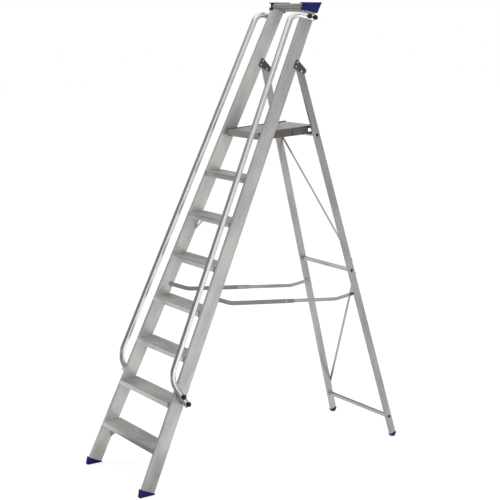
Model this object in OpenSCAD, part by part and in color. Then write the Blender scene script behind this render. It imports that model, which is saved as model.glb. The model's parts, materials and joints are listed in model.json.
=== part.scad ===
// Folding platform stepladder with two handrails, a tool tray and knuckled side stays.
// X runs across the width, -Y is the climbing side, +Z is up. Millimetres.

/* [Climb] */
// Height of the lowest tread above the floor
first_step = 247; // [200:1:300]
// Height from one tread to the next
rise = 232; // [200:1:260]
// Angle of the front frame from upright
lean = 24.7; // [20:0.1:28]
// Depth of a tread from nose to rear edge
tread_d = 115; // [95:1:125]
// Height of the front lip of a tread
tread_lip = 30; // [24:0.5:36]

/* [Front frame] */
// Clear width between the stiles at the floor
inner_w = 587; // [540:1:660]
// Angle by which stiles and legs close in towards the top
splay = 3.11; // [2.4:0.01:3.6]
// Depth of a stile
stile_d = 82; // [70:0.5:96]
// Thickness of a stile
stile_t = 21; // [18:0.5:28]
// Wall of the stile extrusion
stile_wall = 2.6; // [2:0.1:4]

/* [Rear frame] */
// Angle of the rear frame from upright when open
rear_lean = 15.96; // [12:0.01:20]
// Depth of a rear leg
leg_d = 41; // [34:0.5:48]
// Wall of the rear leg extrusion
leg_wall = 1.8; // [1.4:0.1:2.4]
// Distance of the hinge above the platform front, along the stiles
hinge_over = 414; // [400:1:480]
// Distance of the hinge behind the stiles
hinge_back = 32.5; // [30:0.5:40]

/* [Platform] */
// Side gap between platform and stiles at the platform pivot
platform_gap = 26; // [25:0.5:45]
// Height of the platform side plates
platform_h = 40; // [36:0.5:50]
// Rise of the deck towards the rear
platform_tilt = 3.5; // [1:0.1:5]
// Distance that the deck reaches behind its support bar
deck_over = 38; // [30:1:60]

/* [Handrail] */
// Outside diameter of the handrail tube
rail_od = 32; // [26:0.5:38]
// Distance of the tube centre in front of the stiles, at the floor line
rail_offset = 53; // [46:0.5:70]
// Outward turn of the bent ends
rail_turn = 15; // [12:0.5:20]

/* [Stays] */
// Width of the front arm of a stay
stay_w = 24; // [20:0.5:28]
// Thickness of a stay arm
stay_t = 2.5; // [2:0.1:4]
// Drop of the stay below the line between its end pivots
stay_drop = 30; // [20:0.5:40]

/* [Tray] */
// Height of the tray rim above the platform
tray_over = 709; // [660:1:800]
// Distance that the tray end caps reach behind the stiles
cap_behind = 15; // [10:0.5:30]
// Height of the rounded front rail of the tray
front_rail_h = 27; // [22:0.5:30]

/* [Hidden] */
$fn = 32;
arc_steps = 8;
dome_steps = 4;
seat = 0.05;
run_gap = 0.05;
side_gap = 0.35;
least_r = 0.5;
lap = 1;
cut_over = 1;
trim_over = 100;
trim_depth = 1000;

left = -1;
right = 1;
sides = [left, right];
tread_count = 7;

// Fasteners, and the ends that carry a head: inner end, outer end
inner = [true, false];
outer = [false, true];
both = [true, true];
rivet_r = 3;
rivet_head_r = 5.5;
rivet_head_t = 2;
pin_r = 4.5;
pin_head_r = 6.5;
pin_head_t = 3;
pin_collar_r = 9;
bolt_r = 4;
bolt_head_r = 9.5;
bolt_head_t = 4;
bolt_grip = 24;

// Front frame: p is the distance behind the stile front, s the distance up the slope
half_in = inner_w / 2;
stile_r = 5;
function front_y(p, s) = p * cos(lean) + s * sin(lean);
function front_z(p, s) = s * cos(lean) - p * sin(lean);
function slope_s(y, z) = y * sin(lean) + z * cos(lean);
function inner_x(s) = half_in - s * tan(splay);

// Treads
tread_wall = 2.5;
tread_lead = 15;
tread_nose_r = 4;
tread_back_h = 14;
tread_hem = 6;
groove_w = 4;
groove_pitch = 7;
groove_depth = 1.2;
groove_margin = 12;
function tread_z(k) = first_step + (k - 1) * rise;
function level_s(k) = tread_z(k) / cos(lean);
function tread_s(k) = level_s(k) - tread_lead * sin(lean);
tread_p = -tread_lead * cos(lean);

// Knee braces
brace_fall = 68;
brace_run = 90;
brace_w = 10;
brace_t = 4;
brace_past = 10;
brace_in = 1;
lower_brace_tread = 1;
upper_brace_tread = 6;

// Front edge of the platform
platform_inset = 11;
platform_z = tread_z(tread_count + 1);
platform_y = platform_z * tan(lean) + platform_inset;

// Rear frame: q is the distance down the leg from the hinge, b the distance behind its centre
hinge_p = stile_d + hinge_back;
hinge_s = platform_z / cos(lean) + hinge_over + platform_inset * sin(lean);
hinge_y = front_y(hinge_p, hinge_s);
hinge_z = front_z(hinge_p, hinge_s);
hinge_x = inner_x(hinge_s) + stile_t / 2 / cos(splay);
hinge_play = 1.8;
leg_t = stile_t - 2 * hinge_play;
leg_r = 2.5;
leg_below = 20;
leg_above = 17;
leg_len = (hinge_z - leg_below) / cos(rear_lean);
function leg_x(q) = hinge_x + q * tan(splay);
function rear_y(q, b) = hinge_y + q * sin(rear_lean) + b * cos(rear_lean);
function rear_z(q, b) = hinge_z - q * cos(rear_lean) + b * sin(rear_lean);
function rear_q(z) = (hinge_z - z) / cos(rear_lean);

// Feet, which set the ends of the part along Y
foot_s = 44;
foot_wall = 2.6;
foot_toe = 3;
foot_nose = 7;
foot_rim = 2;
foot_plug = 26;
rear_foot_rim = 1.2;
rear_foot_top = 2;
rear_foot_edge = 8;
rear_foot_toe = 15;
rear_foot_heel = 4;
rear_tip = leg_d / 2 + rear_foot_rim;
function rear_sole(b) = -(hinge_z + b * sin(rear_lean)) / cos(rear_lean);
toe_p = foot_toe / (1 + (foot_toe + foot_nose) / foot_s * tan(lean));
front_end = toe_p / cos(lean);
rear_end = rear_y(leg_len + rear_foot_edge, rear_tip);
y_mid = (front_end + rear_end) / 2;

// Platform: u runs back along the deck from the nosing, v up from the deck
side_t = 3;
side_front_lip = 3;
side_rear_lip = 6;
side_end_h = 8;
deck_t = 3;
deck_lip = 37;
deck_rib = 18;
deck_rib_t = 2;
deck_rib_count = 3;
deck_back = 22;
pivot_in = 25;
pivot_drop = 20;
pivot = [pivot_in, -pivot_drop];
pivot_y = platform_y + pivot[0] * cos(platform_tilt) - pivot[1] * sin(platform_tilt);
pivot_z = platform_z + pivot[0] * sin(platform_tilt) + pivot[1] * cos(platform_tilt);
platform_half = inner_x(slope_s(pivot_y, pivot_z)) - platform_gap;

// The support bar crosses the legs a fixed drop below the deck
support_r = 9;
support_drop = 49;
support_u = ((hinge_y - platform_y - support_drop * sin(platform_tilt)) * cos(rear_lean)
             + (hinge_z - platform_z + support_drop * cos(platform_tilt)) * sin(rear_lean))
            / cos(platform_tilt - rear_lean);
support_z = platform_z + support_u * sin(platform_tilt) - support_drop * cos(platform_tilt);
platform_d = support_u + deck_over;
hook = [support_u, -support_drop];
hook_t = 4;
hook_clear = 0.5;
hook_front = 140;
hook_step = 34;
hook_top = 4;
hook_over = 11;
hook_tail = 25;
hook_grip = 8;
hook_relief = 45;
hook_rivet_in = 60;
hook_rivet_pitch = 60;
hook_rivet_drop = 24;
hook_rivets = [for (i = [0, 1]) [support_u - hook_rivet_in - i * hook_rivet_pitch, -hook_rivet_drop]];

// Hinge plates, about the hinge
plate_t = 4;
plate_lap = 25;
plate_past = 31;
plate_front = stile_d - plate_lap;
plate_rear = hinge_p + plate_past;
plate_low = 6;
plate_high = 47;
plate_tip = 22;
plate_r = 9;
plate_rivet_in = 11;
plate_rivet_low = 8;
plate_rivet_pitch = 26;
plate_rivet_p = stile_d - plate_rivet_in;
plate_rivets = [plate_rivet_low, plate_rivet_low + plate_rivet_pitch];

// Crossbars and diagonals of the rear frame
middle_tread = 4;
middle_over = 106;
bottom_under = 120;
middle_z = tread_z(middle_tread) + middle_over;
bottom_z = first_step - bottom_under;
bar_h = 20;
bar_d = 16;
bar_bead = 3;
bar_wall = 1.8;
bar_drops = [rear_q(support_z), rear_q(middle_z), rear_q(bottom_z)];
strip_w = 16;
strip_t = 3;
upper_strip_in = [35, 55];
lower_strip_in = [27, 78];
upper_strip = [rear_q(support_z - upper_strip_in[0]), rear_q(middle_z + upper_strip_in[1])];
lower_strip = [rear_q(middle_z - lower_strip_in[0]), rear_q(bottom_z + lower_strip_in[1])];
function strip_ends(side) = side == left ? [upper_strip[0], lower_strip[1]]
                                         : [upper_strip[1], lower_strip[0]];

// Tool tray: local y from the front of the caps, z from the rim
tray_z = platform_z + tray_over;
cap_over = 4;
cap_lead = 25;
cap_cover = 15;
cap_front_h = 44;
cap_back_h = 60;
cap_back_in = 31;
cap_mouth = 9;
cap_lobe = 6;
cap_lip = 5;
cap_chin_in = 2;
cap_w = stile_t + 2 * cap_over;
cap_d = (cap_lead + stile_d) / cos(lean) + cap_behind;
tray_drop = 6;
tray_sheet = 2;
rail_flange = 8;
back_rail_h = 46;
back_rail_in = 14;
back_rail_y = cap_d - cap_back_in - back_rail_in;
tray_y = tray_z * tan(lean) - cap_lead / cos(lean);
stile_top = tray_z / cos(lean) - cap_cover;
cap_inner = inner_x(slope_s(tray_y + cap_d / 2, tray_z - cap_front_h / 2)) - cap_over;
tray_reach = cap_inner + cap_over / 2;

// Handrails: each tube is drawn upright in a plane, and bends towards the rear at both ends
rail_wall = 1.8;
rail_spread = 0.32;
rail_pass = 1.3;
rail_low_tread = 2;
rail_low_over = 176;
rail_high_under = 129;
rail_low = round(level_s(rail_low_tread) + rail_low_over);
rail_high = round(stile_top - rail_high_under);
rail_out = rail_od / 2 + rail_pass - (rail_offset + rail_low * sin(rail_spread)) * tan(rail_turn);
low_bend = acos(3 / 5);
low_bend_r = 118;
low_tail = 118;
low_bolt_in = 53;
low_bolt_pitch = 48;
low_bolts = [low_bolt_in, low_bolt_in + low_bolt_pitch];
high_bend = 79;
high_bend_r = 62;
high_tail = 90;
high_bolt_in = 40;
high_bolt_pitch = 34;
high_bolts = [high_bolt_in, high_bolt_in + high_bolt_pitch];
ball_r = 14;
ball_out = 8;
spacer_r = 10;
bolt_bite = 9;
function low_tail_at(d) = [low_bend_r * (1 - cos(low_bend)) + d * sin(low_bend),
                           rail_low - low_bend_r * sin(low_bend) - d * cos(low_bend)];
function high_tail_at(d) = [high_bend_r * (1 - cos(high_bend)) + d * sin(high_bend),
                            rail_high + high_bend_r * sin(high_bend) + d * cos(high_bend)];
// A point of the tube's plane, in stile space
function rail_point(q) = [stile_t + rail_out + q[0] * sin(rail_turn),
                          q[0] * cos(rail_turn) * cos(rail_spread) - q[1] * sin(rail_spread) - rail_offset,
                          q[0] * cos(rail_turn) * sin(rail_spread) + q[1] * cos(rail_spread)];
rail_bolts = concat([for (d = low_bolts) rail_point(low_tail_at(d))],
                    [for (d = high_bolts) rail_point(high_tail_at(d))]);

// Stays: drawn from the stile pivot towards the leg pivot
stay_tread = 4;
stay_stile_in = 15;
stay_over = 91;
stay_under = 36;
stay_leg_b = -8;
stay_stile_p = stile_d - stay_stile_in;
stay_stile_s = level_s(stay_tread) + stay_over;
stay_leg_q = rear_q(tread_z(stay_tread) - stay_under);
stay_crank = 112;
stay_rear_crank = 128;
stay_bend_r = 200;
stay_tail = 46;
stay_lead = 30;
stay_narrower = 4;
stay_rear_w = stay_w - stay_narrower;
stay_inset = 6;
stay_reach = 48;
stay_a = [front_y(stay_stile_p, stay_stile_s), front_z(stay_stile_p, stay_stile_s)];
stay_b = [rear_y(stay_leg_q, stay_leg_b), rear_z(stay_leg_q, stay_leg_b)];
stay_len = norm(stay_b - stay_a);
stay_dip = atan2(stay_b[1] - stay_a[1], stay_b[0] - stay_a[0]);
stay_x = inner_x(stay_stile_s) - stay_inset;
stay_rear_x = stay_x - stay_t - side_gap;
knuckle = [stay_len / 2, -stay_drop];

module in_front() {
    translate([0, -y_mid, 0]) rotate([-lean, 0, 0]) children();
}

module in_rear() {
    translate([0, hinge_y - y_mid, hinge_z]) rotate([rear_lean, 0, 0]) children();
}

module in_platform() {
    translate([0, platform_y - y_mid, platform_z]) rotate([platform_tilt, 0, 0]) children();
}

module in_stays() {
    translate([0, stay_a[0] - y_mid, stay_a[1]]) rotate([stay_dip, 0, 0]) children();
}

module in_tray() {
    translate([0, tray_y - y_mid, tray_z]) children();
}

// Mirrors a piece drawn for the right hand side
module on_side(side) {
    mirror([side == left ? 1 : 0, 0, 0]) children();
}

// Stile space: x from the inner face outwards, y behind the front, z along the stile
module on_stile(side) {
    in_front() on_side(side) translate([half_in, 0, 0]) rotate([0, -splay, 0]) children();
}

// Leg space: origin at the hinge, z up the leg
module on_leg(side) {
    in_rear() on_side(side) translate([hinge_x, 0, 0]) rotate([0, -splay, 0]) children();
}

// Handrail space: z along the tube, y towards the rear and outwards
module on_rail(side) {
    on_stile(side) translate([stile_t + rail_out, -rail_offset, 0])
        rotate([rail_spread, 0, 0]) rotate([0, 0, -rail_turn]) children();
}

module rounded(size, r) {
    translate([r, 0]) square([size[0] - 2 * r, size[1]]);
    translate([0, r]) square([size[0], size[1] - 2 * r]);
    for (x = [r, size[0] - r])
        for (y = [r, size[1] - r])
            translate([x, y]) circle(r = r);
}

// Rounded tube outline with a corner at the origin
module tube_outline(size, r, wall) {
    difference() {
        rounded(size, r);
        translate([wall, wall]) rounded([size[0] - 2 * wall, size[1] - 2 * wall], max(r - wall, least_r));
    }
}

// Points of an arc about a centre
function arc(centre, r, from, to) =
    [for (i = [0 : arc_steps])
        let (a = from + (to - from) * i / arc_steps)
        centre + r * [cos(a), sin(a)]];

// Extrudes an outline drawn in Y and Z along X, centred
module along_x(len) {
    rotate([90, 0, 90]) linear_extrude(height = len, center = true) children();
}

// Sheet with an outline drawn in Y and Z, from x outwards
module sheet_at(x, t) {
    translate([x, 0, 0]) rotate([90, 0, 90]) linear_extrude(height = t) children();
}

// Direction from one point to the next
function heading(a, b) = atan2(b[1] - a[1], b[0] - a[0]);

// Flat bar between two points of a plane
module bar(a, b, w) {
    translate(a) rotate(heading(a, b)) translate([0, -w / 2]) square([norm(b - a), w]);
}

// Edge of a bent bar at one of its bends
function bend_edge(points, i, offset) =
    let (before = heading(points[i - 1], points[i]), turn = heading(points[i], points[i + 1]) - before)
    points[i] + offset / cos(turn / 2) * [-sin(before + turn / 2), cos(before + turn / 2)];

// Points of the arc that rounds the bend at b on the way from a to c
function rounded_bend(a, b, c, r) =
    let (before = heading(a, b), turn = heading(b, c) - before,
         start = b - r * abs(tan(turn / 2)) * [cos(before), sin(before)],
         centre = start + sign(turn) * r * [-sin(before), cos(before)],
         from = before - sign(turn) * 90)
    arc(centre, r, from, from + turn);

// Bent bar with round ends through a list of points
module bent_bar(points, w) {
    last = len(points) - 1;
    start = heading(points[0], points[1]);
    end = heading(points[last - 1], points[last]);
    polygon(concat(arc(points[0], w / 2, start + 90, start + 270),
                   [for (i = [1 : 1 : last - 1]) bend_edge(points, i, -w / 2)],
                   arc(points[last], w / 2, end - 90, end + 90),
                   [for (i = [last - 1 : -1 : 1]) bend_edge(points, i, w / 2)]));
}

// Round rod along X from one x to another
module rod(x0, x1, r) {
    translate([min(x0, x1), 0, 0]) rotate([0, 90, 0]) cylinder(r = r, h = abs(x1 - x0));
}

// Outline of a domed head on the plane x, facing along dir, from its rim to its crown
function dome(x, dir, r, t) =
    let (ball = (r * r + t * t) / (2 * t), rim = asin(r / ball))
    [for (i = [0 : dome_steps])
        let (a = rim * (1 - i / dome_steps))
        [ball * sin(a), x + dir * (t - ball + ball * cos(a))]];
function reversed(list) = [for (i = [len(list) - 1 : -1 : 0]) list[i]];

// Turned shank along X from x0 to x1 with a domed head on each end that is asked for
module headed(x0, x1, r, head_r, head_t, ends) {
    low = ends[0] ? reversed(dome(x0, -1, head_r, head_t)) : [[0, x0]];
    high = ends[1] ? dome(x1, 1, head_r, head_t) : [[0, x1]];
    rotate([0, 90, 0]) rotate_extrude() polygon(concat(low, [[r, x0], [r, x1]], high));
}

module rivet(x0, x1, ends) {
    headed(x0, x1, rivet_r, rivet_head_r, rivet_head_t, ends);
}

module pin(x0, x1, ends) {
    headed(x0, x1, pin_r, pin_head_r, pin_head_t, ends);
}

// Space between the inner faces of the stiles
module between_stiles() {
    top = stile_top + trim_over;
    rotate([90, 0, 0]) linear_extrude(height = trim_depth, center = true)
        polygon([[-half_in + seat, 0], [half_in - seat, 0],
                 [inner_x(top) - seat, top], [-inner_x(top) + seat, top]]);
}

// Space between the inner faces of the rear legs
module between_legs() {
    inset = leg_t / 2 / cos(splay) + seat;
    low = leg_x(leg_len) - inset;
    high = hinge_x - inset;
    rotate([90, 0, 0]) linear_extrude(height = trim_depth, center = true)
        polygon([[-low, -leg_len], [low, -leg_len], [high, 0], [-high, 0]]);
}

module at_plate_rivets() {
    for (s = plate_rivets) translate([0, plate_rivet_p, (hinge_s + s) / cos(splay)]) children();
}

module at_rail_bolts() {
    for (b = rail_bolts) translate([0, b[1], b[2]]) children();
}

module stile(side) {
    low = foot_s / cos(splay);
    color("#a9a9a4") on_stile(side) difference() {
        translate([0, 0, low]) linear_extrude(height = stile_top / cos(splay) - low)
            tube_outline([stile_t, stile_d], stile_r, stile_wall);
        at_plate_rivets() rod(-cut_over, stile_t + cut_over, rivet_r + seat);
        at_rail_bolts() rod(stile_t / 2, stile_t + cut_over, bolt_r + seat);
    }
}

// Tread: grooved plate with a rounded nose, a deep front lip, a rear lip and a rib below
module tread_outline() {
    nose = [tread_nose_r, -tread_nose_r];
    back = tread_d - tread_wall;
    hem = tread_d - tread_hem;
    mid = tread_d / 2;
    groove = [[0, 0], [0, -groove_depth], [groove_w, -groove_depth], [groove_w, 0]];
    grooves = [for (y = [groove_margin : groove_pitch : tread_d - groove_margin])
                   for (q = groove) [y, 0] + q];
    rear_lip = [[tread_d, 0], [tread_d, -tread_back_h], [hem, -tread_back_h],
                [hem, tread_wall - tread_back_h], [back, tread_wall - tread_back_h], [back, -tread_wall]];
    rib = [[mid + tread_wall, -tread_wall], [mid + tread_wall, -tread_back_h],
           [mid, -tread_back_h], [mid, -tread_wall]];
    front_lip = [[tread_wall, tread_wall - tread_lip], [tread_hem, tread_wall - tread_lip],
                 [tread_hem, -tread_lip], [0, -tread_lip]];
    polygon(concat(arc(nose, tread_nose_r, 180, 90), grooves, rear_lip, rib,
                   arc(nose, tread_nose_r - tread_wall, 90, 180), front_lip));
}

module at_tread(k) {
    translate([0, tread_p, tread_s(k)]) rotate([lean, 0, 0]) children();
}

module tread(k) {
    color("#96968f") in_front() intersection() {
        between_stiles();
        at_tread(k) along_x(inner_w) tread_outline();
    }
}

// Flat strips that prop a tread off both stiles, near the rear faces of the stiles
module knee_braces(k) {
    rear = stile_d - brace_in;
    rise = rear * tan(lean);
    reach = inner_x(level_s(k));
    foot = [reach + brace_past, -brace_fall - brace_past * (brace_fall + rise) / brace_run];
    top = [reach - brace_run, rise];
    color("#8b8a84") in_front() intersection() {
        between_stiles();
        for (side = sides) on_side(side) difference() {
            translate([0, rear, level_s(k)]) rotate([90, 0, 0])
                linear_extrude(height = brace_w) bar(foot, top, brace_t);
            at_tread(k) translate([0, 0, -tread_wall - seat]) cube([inner_w, tread_d, brace_w]);
        }
    }
}

// Blue wedge under a stile: level sole, thick at the toe, with a plug in the stile
module front_foot(side) {
    top = foot_s / cos(splay) - seat;
    play = stile_wall + seat;
    color("#232a78") intersection() {
        on_stile(side) {
            sheet_at(-foot_wall, stile_t + 2 * foot_wall)
                polygon([[foot_toe, 0], [stile_d + foot_rim, 0],
                         [stile_d + foot_rim, top], [-foot_nose, top]]);
            translate([play, play, top - lap]) linear_extrude(height = foot_plug)
                rounded([stile_t - 2 * play, stile_d - 2 * play], max(stile_r - play, least_r));
        }
        translate([-inner_w, -2 * y_mid, 0]) cube([2 * inner_w, 4 * y_mid, foot_s + 2 * foot_plug]);
    }
}

// Tray front rail: round nosed channel, open to the rear
module front_rail_outline(grow, flange) {
    r = front_rail_h / 2;
    centre = [cap_mouth + r, -tray_drop - r];
    polygon(concat(arc(centre, r + grow, 90, 270),
                   [centre + [flange, -r - grow], centre + [flange, r + grow]]));
}

module tray_front_rail() {
    color("#b4b4ae") in_tray() along_x(2 * tray_reach) difference() {
        front_rail_outline(0, rail_flange);
        front_rail_outline(-tray_sheet, rail_flange + cut_over);
    }
}

// Tray rear rail: upright web with a turned rim and a turned foot
module tray_rear_rail() {
    color("#a4a49e") in_tray() along_x(2 * (cap_inner - seat))
        translate([back_rail_y, -tray_drop - back_rail_h]) {
            square([tray_sheet, back_rail_h]);
            square([rail_flange, tray_sheet]);
            translate([0, back_rail_h - tray_sheet]) square([rail_flange, tray_sheet]);
        }
}

// Tray floor: sheet that falls from under the front rail to the foot of the rear rail
module tray_floor() {
    front = [cap_mouth + front_rail_h / 2, -tray_drop - front_rail_h - seat];
    back = [back_rail_y - seat, -tray_drop - back_rail_h + tray_sheet];
    drop = [0, -tray_sheet];
    flat = [rail_flange, 0];
    color("#9c9c96") in_tray() along_x(2 * (cap_inner - seat))
        polygon([front, front + flat, back, back + drop, front + flat + drop, front + drop]);
}

// Side view of an end cap, with the mouth that takes the front rail
module cap_outline() {
    throat = cap_mouth + cap_lobe;
    lobe = -tray_drop - front_rail_h;
    chin = -cap_front_h - cap_lip;
    polygon([[0, 0], [cap_d, 0], [cap_d - cap_back_in, -cap_back_h], [throat, -cap_front_h],
             [throat - cap_chin_in, chin], [cap_mouth, chin], [cap_mouth - cap_lip, lobe - cap_lip],
             [cap_mouth - cap_lip / 2, lobe + cap_lip], [throat, lobe + cap_lip], [throat, -tray_drop],
             [cap_lip, -tray_drop]]);
}

// Blue end cap over the top of a stile, without an inner cheek below the front rail
module tray_cap(side) {
    color("#232a78") difference() {
        in_tray() on_side(side) sheet_at(cap_inner, cap_w) cap_outline();
        in_tray() along_x(2 * (tray_reach + seat)) front_rail_outline(seat, rail_flange + seat);
        on_stile(side) translate([-seat, -seat, 0])
            linear_extrude(height = stile_top / cos(splay) + seat)
                rounded([stile_t + 2 * seat, stile_d + 2 * seat], stile_r + seat);
        intersection() {
            in_tray() translate([-inner_w, -cap_d, -tray_drop - front_rail_h - trim_over])
                cube([2 * inner_w, 3 * cap_d, trim_over]);
            on_stile(side) translate([-cap_w, -stile_d, 0]) cube([cap_w, 3 * stile_d, 2 * stile_top]);
        }
    }
}

// Places its children at the start of the lower and of the upper straight end of a handrail
module at_low_tail() {
    translate([0, low_bend_r, rail_low]) rotate([low_bend, 0, 0]) translate([0, -low_bend_r, 0])
        rotate([180, 0, 0]) children();
}

module at_high_tail() {
    translate([0, high_bend_r, rail_high]) rotate([-high_bend, 0, 0]) translate([0, -high_bend_r, 0])
        children();
}

module rail_tails(r, over) {
    at_low_tail() cylinder(r = r, h = low_tail + over);
    at_high_tail() cylinder(r = r, h = high_tail + over);
}

module rail_ring() {
    difference() {
        circle(d = rail_od);
        circle(d = rail_od - 2 * rail_wall);
    }
}

// Handrail: bent tube with a long run, a bend towards the stile at both ends and bolt holes
module handrail(side) {
    color("#d8d8d8") difference() {
        on_rail(side) union() {
            translate([0, 0, rail_low]) linear_extrude(height = rail_high - rail_low) rail_ring();
            translate([0, low_bend_r, rail_low]) rotate([-90, 0, 0]) rotate([0, 90, 0])
                rotate_extrude(angle = low_bend) translate([low_bend_r, 0]) rail_ring();
            translate([0, high_bend_r, rail_high]) rotate([90, 0, 0]) rotate([0, -90, 0])
                rotate_extrude(angle = high_bend) translate([high_bend_r, 0]) rail_ring();
            at_low_tail() linear_extrude(height = low_tail) rail_ring();
            at_high_tail() linear_extrude(height = high_tail) rail_ring();
        }
        on_stile(side) at_rail_bolts() rod(stile_t, stile_t + 4 * rail_od, bolt_r + seat);
    }
}

// Black stand-offs between tube and stile
module handrail_spacers() {
    color("#191919") for (side = sides) difference() {
        on_stile(side) for (b = rail_bolts) translate([0, b[1], b[2]]) difference() {
            rod(stile_t + seat, b[0], spacer_r);
            rod(stile_t, b[0] + cut_over, bolt_r + seat);
        }
        on_rail(side) rail_tails(rail_od / 2 + seat, rail_od);
    }
}

module handrail_bolts() {
    color("#8a8a88") for (side = sides) on_stile(side) for (b = rail_bolts)
        translate([0, b[1], b[2]]) rod(stile_t - bolt_bite, b[0] + rail_od / 2 + ball_out, bolt_r);
}

// Black ball caps over the outer ends of the bolts
module handrail_bolt_caps() {
    color("#141414") for (side = sides) difference() {
        on_stile(side) for (b = rail_bolts) translate([rail_od / 2 + ball_out, b[1], b[2]]) difference() {
            translate([b[0], 0, 0]) sphere(r = ball_r);
            rod(b[0] - rail_od, b[0] + seat, bolt_r + seat);
        }
        on_rail(side) rail_tails(rail_od / 2 + seat, rail_od);
    }
}

// Rounded outline of a hinge plate about the height of the hinge, lower at its rear end
module plate_outline() {
    front = plate_front + plate_r;
    rear = plate_rear - plate_r;
    low = plate_r - plate_low;
    high = [front, plate_high - plate_r];
    tip = [rear, plate_tip - plate_r];
    fall = heading(high, tip);
    polygon(concat(arc([front, low], plate_r, 180, 270), arc([rear, low], plate_r, 270, 360),
                   arc(tip, plate_r, 0, 90 + fall), arc(high, plate_r, 90 + fall, 180)));
}

// Pair of brown plates, inside and outside the stile, that carry a rear leg between them
module hinge_plates(side) {
    color("#5a4a44") difference() {
        on_stile(side) for (x = [-plate_t - seat, stile_t + seat])
            translate([0, 0, hinge_s / cos(splay)]) sheet_at(x, plate_t) plate_outline();
        on_stile(side) at_plate_rivets() rod(-stile_t, 2 * stile_t, rivet_r + seat);
        in_front() on_side(side) translate([hinge_x, hinge_p, hinge_s]) rod(-stile_t, stile_t, pin_r + seat);
    }
}

module hinge_plate_rivets() {
    out = plate_t + 2 * seat;
    color("#c2c2be") for (side = sides) on_stile(side) at_plate_rivets() rivet(-out, stile_t + out, both);
}

// Pivot pins of the rear legs, along X
module hinge_pins() {
    half = stile_t / 2 + plate_t + pin_head_r * tan(splay) + 2 * seat;
    color("#c8c8c4") in_front() for (side = sides) on_side(side) translate([hinge_x, hinge_p, hinge_s])
        pin(-half, half, both);
}

// Shouldered pin along X: shank through a sheet whose outer face is at x, collar out to the frame
module shouldered_pin(x, t, reach) {
    pin(x - t - side_gap, x + side_gap + lap, inner);
    rod(x + side_gap, x + reach, pin_collar_r);
}

// Pins that carry the platform on the stiles
module platform_pivot_pins() {
    color("#8a8a88") intersection() {
        in_front() between_stiles();
        translate([0, pivot_y - y_mid, pivot_z]) for (side = sides) on_side(side)
            shouldered_pin(platform_half, side_t, 2 * platform_gap);
    }
}

// Folded deck sheet with a front lip, a rear lip and ribs underneath
module platform_deck() {
    color("#b0b0aa") in_platform() along_x(2 * (platform_half - side_t - seat)) {
        translate([0, -deck_t]) square([platform_d, deck_t]);
        translate([0, -deck_lip]) square([deck_t, deck_lip]);
        translate([0, -deck_lip]) square([2 * deck_t, deck_t]);
        translate([platform_d - deck_t, -deck_back]) square([deck_t, deck_back]);
        for (i = [1 : deck_rib_count])
            translate([i * support_u / (deck_rib_count + 1), -deck_rib]) square([deck_rib_t, deck_rib]);
    }
}

// Side plate of the platform, with the pivot hole near the front
module platform_side(side) {
    clip = support_u - hook_step;
    color("#6f625c") in_platform() on_side(side) sheet_at(platform_half - side_t, side_t) difference() {
        polygon([[0, side_front_lip], [platform_d, side_rear_lip], [platform_d, -side_end_h],
                 [clip, -side_end_h], [clip - hook_step, -platform_h], [0, -platform_h]]);
        translate(pivot) circle(r = pin_r + run_gap);
        for (q = hook_rivets) translate(q) circle(r = rivet_r + seat);
    }
}

// Dark hooks outside the side plates that drop over the support bar
module platform_hooks() {
    seat_r = support_r + hook_clear;
    low = hook[1] - hook_grip;
    shelf = hook[1] + seat_r + hook_over;
    step = hook[0] - hook_step;
    start = hook[0] - hook_front;
    tail = hook[0] + hook_tail;
    lead = hook[0] - seat_r - (hook_grip + platform_h) * tan(hook_relief);
    color("#3c3836") in_platform() for (side = sides) on_side(side) sheet_at(platform_half + seat, hook_t)
        difference() {
            polygon([[start, -hook_top], [step, -hook_top], [step, shelf], [tail, shelf], [tail, low],
                     [hook[0], low], [hook[0], -platform_h], [start, -platform_h]]);
            translate(hook) circle(r = seat_r);
            polygon([hook + [seat_r, 0], hook + [seat_r, -hook_grip - platform_h],
                     [lead, low - platform_h], hook - [seat_r, 0]]);
            for (q = hook_rivets) translate(q) circle(r = rivet_r + seat);
        }
}

module platform_rivets() {
    color("#c2c2be") in_platform() for (side = sides) on_side(side) for (q = hook_rivets)
        translate([platform_half, q[0], q[1]]) rivet(-side_t - seat, hook_t + 2 * seat, both);
}

// Rear leg: rectangular tube hung on the hinge pin
module rear_leg(side) {
    color("#a2a29c") difference() {
        on_leg(side) translate([-leg_t / 2, -leg_d / 2, -leg_len / cos(splay)])
            linear_extrude(height = leg_len / cos(splay) + leg_above)
                tube_outline([leg_t, leg_d], leg_r, leg_wall);
        in_rear() on_side(side) translate([hinge_x, 0, 0]) rod(-leg_t, leg_t, pin_r + run_gap);
        on_leg(side) for (q = bar_drops) translate([0, 0, -q / cos(splay)]) rod(-leg_t, leg_t, bolt_r + seat);
        in_rear() for (q = strip_ends(side)) translate([side * leg_x(q), leg_d / 2, -q])
            rotate([0, 0, 90]) rod(-leg_d / 4, cut_over, rivet_r + seat);
    }
}

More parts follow.
